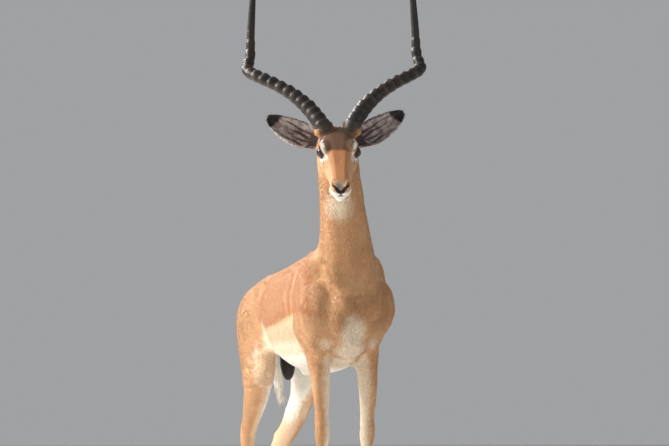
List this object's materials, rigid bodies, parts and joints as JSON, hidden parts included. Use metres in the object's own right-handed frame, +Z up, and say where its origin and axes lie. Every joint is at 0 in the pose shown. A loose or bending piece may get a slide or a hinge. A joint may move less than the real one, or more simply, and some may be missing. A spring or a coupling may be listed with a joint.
{
  "type": "impala antelope",
  "caption": "Life-size still model of a standing male impala antelope with lyre-shaped horns, its head turned to one side.",
  "frame": {"origin": "floor level, below the middle of the model's bounding box", "axes": "+Z up, the animal's body faces -Y and its left side is +X"},
  "size_m": [0.5244, 1.286, 1.7322],
  "materials": {
    "coat": "short, flat, slightly glossy hair",
    "white_coat": "soft longer hair",
    "dark_skin": "soft matte skin",
    "horn": "ridged, satin horn",
    "eye": "wet gloss",
    "hoof": "worn satin horn"
  },
  "bodies": {
    "root": {"ear_left": "coat", "ear_right": "coat", "eye_left": "eye", "eye_right": "eye", "foreleg_left_cannon": "coat", "foreleg_left_forearm": "coat", "foreleg_left_pastern": "coat", "foreleg_right_cannon": "coat", "foreleg_right_forearm": "coat", "foreleg_right_pastern": "coat", "haunch_left": "coat", "haunch_right": "coat", "head": "coat", "hindleg_left_cannon": "coat", "hindleg_left_pastern": "coat", "hindleg_left_shank": "coat", "hindleg_right_cannon": "coat", "hindleg_right_pastern": "coat", "hindleg_right_shank": "coat", "hoof_fore_left_inner": "hoof", "hoof_fore_left_outer": "hoof", "hoof_fore_right_inner": "hoof", "hoof_fore_right_outer": "hoof", "hoof_hind_left_inner": "hoof", "hoof_hind_left_outer": "hoof", "hoof_hind_right_inner": "hoof", "hoof_hind_right_outer": "hoof", "horn_left": "horn", "horn_right": "horn", "neck": "coat", "scrotum": "dark_skin", "tail": "white_coat", "trunk": "coat"}
  },
  "joints": []
}
